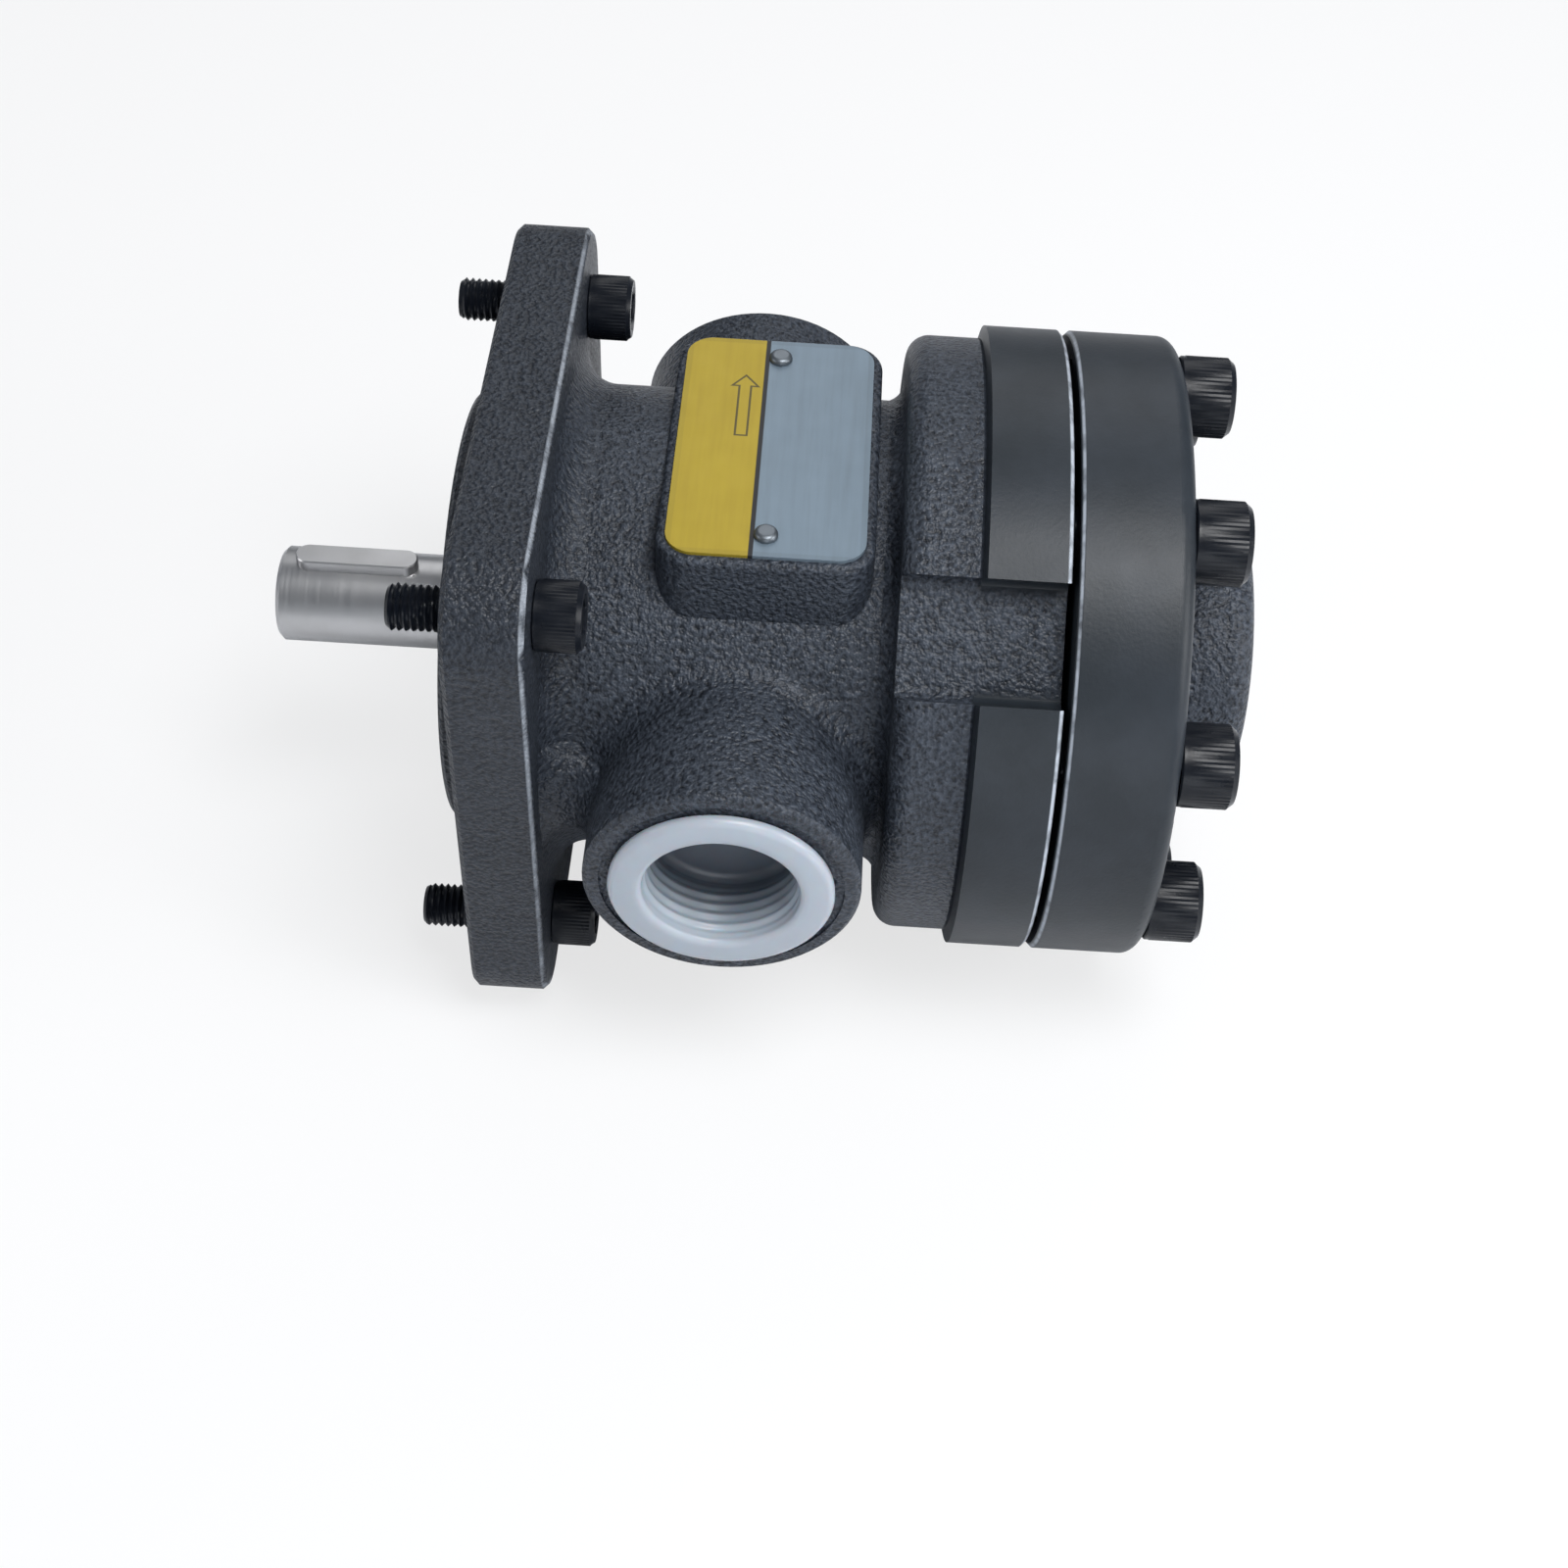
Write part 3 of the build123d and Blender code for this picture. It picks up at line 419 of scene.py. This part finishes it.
# Blackened socket head screws. A head is as tall as the thread is wide, and the sizes called
# share are shares of that diameter.
screws = {
    "colour": (0.0045, 0.006, 0.0095),
    "rubbed": (0.014, 0.016, 0.021),
    "rough": 0.20,
    "specular": 0.22,
    "headShare": 0.75,
    "hexagonShare": 0.41,
    "pitchShare": 0.15,
    "knurls": 54,
    "knurlDepth": 0.00015,
    "smoothAngle": 28.0,
    "seed": 7,
}
coverBolts = {"diameter": 0.012, "length": 0.045, "plain": 0.020, "count": 8}  # plain has no thread
flangeScrews = {"diameter": 0.010, "length": 0.030, "plain": 0.012}


def screwMaterial():
    m = Material("screwBlack", Specular_IOR_Level=screws["specular"])
    m.feed(Base_Color=m.mix(m.noise(0.004).above(0.55, 0.3) * 0.4, screws["colour"], screws["rubbed"]))
    m.feed(Roughness=m.noise(0.003, 4.0) * 0.2 + screws["rough"])
    m.bump(m.noise(0.0006, 3.0), 0.25, 0.0001)
    return m.material


def socketScrew(size):  # the head stands on X = 0 and the threaded shank runs along -X
    diameter, length, plain = size["diameter"], size["length"], size["plain"]
    headRadius, headHeight = diameter * screws["headShare"], diameter
    radius, pitch = diameter / 2, diameter * screws["pitchShare"]
    hexagonRadius = diameter * screws["hexagonShare"]
    count = 2 * screws["knurls"]

    def knurl(angle):
        return headRadius - screws["knurlDepth"] * (round(angle / math.tau * count) % 2)

    def hexagon(angle):
        turn = (angle + math.pi / 6) % (math.pi / 3) - math.pi / 6
        return hexagonRadius / math.cos(turn)

    def thread(x):
        def reach(angle):
            wave = abs(((x / pitch - angle / math.tau) % 1.0) * 2 - 1)
            return radius - pitch * 0.55 * wave
        return reach

    rings = [(-length, radius * 0.82)]
    steps = int((length - plain) / (pitch / 4))
    for step in range(steps + 1):
        x = -length + pitch * 0.5 + (length - plain - pitch * 0.5) * step / steps
        rings.append((x, thread(x)))
    bevel = headHeight * 0.07
    rings += [
        (-plain + 0.0004, radius),
        (0.0, radius),
        (0.0, headRadius - 0.0005),
        (0.0004, headRadius - 0.0001),
        (0.0012, headRadius - 0.0001),
        (0.0014, knurl),
        (headHeight - bevel * 1.5, knurl),
        (headHeight - bevel * 1.2, headRadius - 0.0003),
        (headHeight, headRadius - bevel * 1.3),
        (headHeight, hexagonRadius * 1.22),
        (headHeight - 0.0004, hexagon),
        (headHeight * 0.45, hexagon),
        (headHeight * 0.38, hexagonRadius * 0.3),
    ]
    return ringMesh("screw", rings, count)


def screwSet(name, node, size, seat, places, material):
    source = bpy.data.objects.new("oneScrew", socketScrew(size))
    bpy.context.scene.collection.objects.link(source)
    made = repeat(name, source, [(seat, y, z) for y, z in places], material, screws["seed"])
    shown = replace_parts(show(made, material, screws["smoothAngle"]), node)
    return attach(shown, "housing")


# The sets fill their CAD boxes: the outermost heads touch the box's sides and its rear face.
def addCoverBolts(material):
    size, high = coverBolts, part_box("cover_bolts")[1]
    first, step = 180.0 / size["count"], 360.0 / size["count"]
    circle = (high.y - size["diameter"] * screws["headShare"]) / math.cos(math.radians(first))
    turns = [math.radians(first + step * index) for index in range(size["count"])]
    places = [(circle * math.cos(turn), circle * math.sin(turn)) for turn in turns]
    return screwSet("coverBolts", "cover_bolts", size, high.x - size["diameter"], places, material)


def addFlangeScrews(material):
    size, high = flangeScrews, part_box("flange_screws")[1]
    half = high.y - size["diameter"] * screws["headShare"]
    places = [(y * half, z * half) for y in (-1, 1) for z in (-1, 1)]
    return screwSet("flangeScrews", "flange_screws", size, high.x - size["diameter"], places, material)


# The cup-shaped plastic plug of the near port, with painted shade darkening it towards its bottom, and soft
# ridges inside.
plug = {
    "colour": (0.36, 0.405, 0.46),
    "cloud": (0.50, 0.56, 0.63),
    # painted shade colour for the cup's bottom
    "deepShade": (0.05, 0.057, 0.075),
    "rough": 0.25,
    "outside": 0.01925,
    "inside": 0.01680,
    "taper": 0.017,
    "ridge": 0.0007,
    "pitch": 0.0026,
    "ridgeSteps": 44,
    "count": 96,
    "smoothAngle": 50.0,
}


def plugMaterial(low, high):
    m = Material("plug", Subsurface_Weight=0.35, Subsurface_Scale=0.004, IOR=1.5)
    depth = high.y - low.y
    wall = m.mix(m.noise(0.009, 3.0) * 0.25, plug["colour"], plug["cloud"])
    # Painted shade: the colour darkens towards the cup's closed bottom, deep inside the port.
    m.feed(Base_Color=m.mix(m.y.above(low.y + depth * 0.62, depth * 0.75), wall, plug["deepShade"]))
    m.feed(Roughness=m.noise(0.004, 3.0) * 0.14 + plug["rough"])
    m.bump(m.noise(0.006, 3.0), 0.2, 0.0003)
    return m.material


def addPortPlug(low, high, material):
    flange, depth = (high.x - low.x) / 2, high.y - low.y
    outside, inside = plug["outside"], plug["inside"]

    def ridge(along):
        def reach(angle):
            wave = 0.5 + 0.5 * math.cos(math.tau * (along / plug["pitch"] - angle / math.tau))
            fade = min(1.0, max(0.0, (along - 0.002) / 0.002), max(0.0, (depth - 0.005 - along) / 0.002))
            return inside - along * plug["taper"] - plug["ridge"] * wave * fade
        return reach

    # From the middle of the closed end, over the outside to the mouth and back down the inside.
    rings = [
        (depth, 0.0004),
        (depth, outside * 0.93),
        (depth - 0.0012, outside * 0.965),
        (0.0042, outside),
        (0.0031, outside + 0.0004),
        (0.0030, flange - 0.0008),
        (0.0024, flange - 0.0001),
        (0.0012, flange),
        (0.0004, flange - 0.0005),
        (0.0, flange - 0.0016),
        (0.0002, inside + 0.0022),
        (0.0, inside + 0.0010),
        (0.0005, inside + 0.0002),
    ]
    for step in range(plug["ridgeSteps"]):
        along = 0.001 + (depth - 0.0045) * step / plug["ridgeSteps"]
        rings.append((along, ridge(along)))
    rings += [(depth - 0.0030, inside * 0.93), (depth - 0.0024, inside * 0.86), (depth - 0.0024, 0.0004)]
    mesh = ringMesh("portPlug", rings, plug["count"])
    mesh.transform(Matrix(((0, 1, 0, (low.x + high.x) / 2), (1, 0, 0, low.y), (0, 0, 1, 0), (0, 0, 0, 1))))
    shown = show(mesh, material, plug["smoothAngle"])
    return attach(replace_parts(shown, "suction_port_plug"), "suction_plug")


def dress(name, material):
    mesh = nodes[name].data
    mesh.materials.clear()
    mesh.materials.append(material)


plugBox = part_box("suction_port_plug")
looks = {
    "paint": paintMaterial(),
    "steel": steelMaterial(),
    "black_steel": screwMaterial(),
    "plug": plugMaterial(*plugBox),
    "rubber": plainMaterial("rubber", rubber),
    "iron": plainMaterial("iron", iron),
    "plate": plateMaterial(*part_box("name_plate")),
}
for entry in frame["record"]["subparts"]:
    dress(entry["node"], looks[entry["material_slot"]])
dress("name_plate_screws", plainMaterial("driveScrew", driveScrew))
print("materials done,", len(bpy.data.materials))

addCoverBolts(looks["black_steel"])
addFlangeScrews(looks["black_steel"])
print("screws done")

addPortPlug(*plugBox, looks["plug"])
print("port plug done")

# Soft studio lamps, all aimed at one place in the middle of the pump.
lampAim = (0.07, 0.0, 0.0)
lamps = {
    "key": {"place": (0.35, -0.30, 0.95), "size": 0.45, "power": 9.0, "colour": (1.0, 1.0, 1.0)},
    "back": {"place": (0.10, 0.75, 0.70), "size": 0.70, "power": 2.4, "colour": (1.0, 1.0, 1.0)},
    "front": {"place": (0.25, -0.95, 0.05), "size": 0.60, "power": 2.6, "colour": (0.92, 0.96, 1.0)},
    "right": {"place": (0.85, -0.25, 0.35), "size": 0.45, "power": 3.8, "colour": (1.0, 1.0, 1.0)},
    "left": {"place": (-0.90, -0.30, 0.45), "size": 0.50, "power": 2.0, "colour": (1.0, 1.0, 1.0)},
}


def addLamp(name, lamp):
    data = bpy.data.lights.new(name, "AREA")
    data.energy, data.size, data.color = lamp["power"], lamp["size"], lamp["colour"]
    made = bpy.data.objects.new(name, data)
    bpy.context.scene.collection.objects.link(made)
    made.location = lamp["place"]
    made.rotation_euler = (Vector(lampAim) - Vector(lamp["place"])).to_track_quat("-Z", "Y").to_euler()


def mixShaders(tree, factor, first, second, end):  # end is the name of the tree's output node
    mixed = addNode(tree, "ShaderNodeMixShader", {}, {0: factor, 1: first, 2: second})
    feedSocket(tree, tree.nodes[end].inputs[0], mixed)


# The pale floor under the pump: mostly plain white to the camera, with the soft shadow kept.
floor = {"half": 30.0, "colour": (0.80, 0.81, 0.83), "rough": 0.9, "specular": 0.1, "white": 0.72}


def addFloor():
    half, height = floor["half"], cadBox[0][2]
    mesh = bpy.data.meshes.new("floor")
    spots = [(x * half, y * half, height) for x, y in ((-1, -1), (1, -1), (1, 1), (-1, 1))]
    mesh.from_pydata(spots, [], [(0, 1, 2, 3)])
    m = Material("floor", Roughness=floor["rough"], Specular_IOR_Level=floor["specular"])
    m.feed(Base_Color=floor["colour"])
    seen = addNode(m.tree, "ShaderNodeLightPath", {}, {}, "Is Camera Ray") * floor["white"]
    white = addNode(m.tree, "ShaderNodeEmission", {}, {})
    mixShaders(m.tree, seen, Value(m.tree, m.shader.outputs[0]), white, "Material Output")
    mesh.materials.append(m.material)
    made = bpy.data.objects.new("floor", mesh)
    bpy.context.scene.collection.objects.link(made)


# The room: white to the camera, and a dim cool fill light for everything else.
room = {"white": (1.0, 1.0, 1.0), "fill": (0.80, 0.86, 0.95), "strength": 0.22}


def addRoom():
    world = bpy.data.worlds.new("studio")
    bpy.context.scene.world = world
    world.use_nodes = True
    tree = world.node_tree
    fill = tree.nodes["Background"]
    feedSocket(tree, fill.inputs[0], room["fill"])
    feedSocket(tree, fill.inputs[1], room["strength"])
    seen = addNode(tree, "ShaderNodeLightPath", {}, {}, "Is Camera Ray")
    white = addNode(tree, "ShaderNodeBackground", {}, {0: room["white"]})
    mixShaders(tree, seen, Value(tree, fill.outputs[0]), white, "World Output")


# The camera looks at one place on the shaft's axis, square to it, from above the plugged port.
# Centre is where that place falls in the render, as shares of its width and height.
camera = {
    "sideX": 0.0741,
    "distance": 0.545,
    "elevation": 46.2,
    "roll": 3.5,
    "lens": 53.64,
    "sensor": 36.0,
    "centre": (0.5207, 0.3984),
}


def addCamera():
    rise = math.radians(camera["elevation"])
    away = Vector((0.0, -math.cos(rise), math.sin(rise)))
    data = bpy.data.cameras.new("camera")
    data.lens, data.sensor_width = camera["lens"], camera["sensor"]
    data.shift_x = 0.5 - camera["centre"][0]
    data.shift_y = camera["centre"][1] - 0.5
    view = bpy.data.objects.new("camera", data)
    bpy.context.scene.collection.objects.link(view)
    stand = Vector((camera["sideX"], 0.0, 0.0)) + away * camera["distance"]
    aim = (-away).to_track_quat("-Z", "Y").to_matrix().to_4x4()
    roll = Matrix.Rotation(math.radians(camera["roll"]), 4, "Z")
    view.matrix_world = Matrix.Translation(stand) @ aim @ roll
    bpy.context.scene.camera = view


for name, lamp in lamps.items():
    addLamp(name, lamp)
addFloor()
addRoom()
addCamera()
bpy.context.scene.view_settings.view_transform = "Standard"
print("lamps, floor, room and camera done")
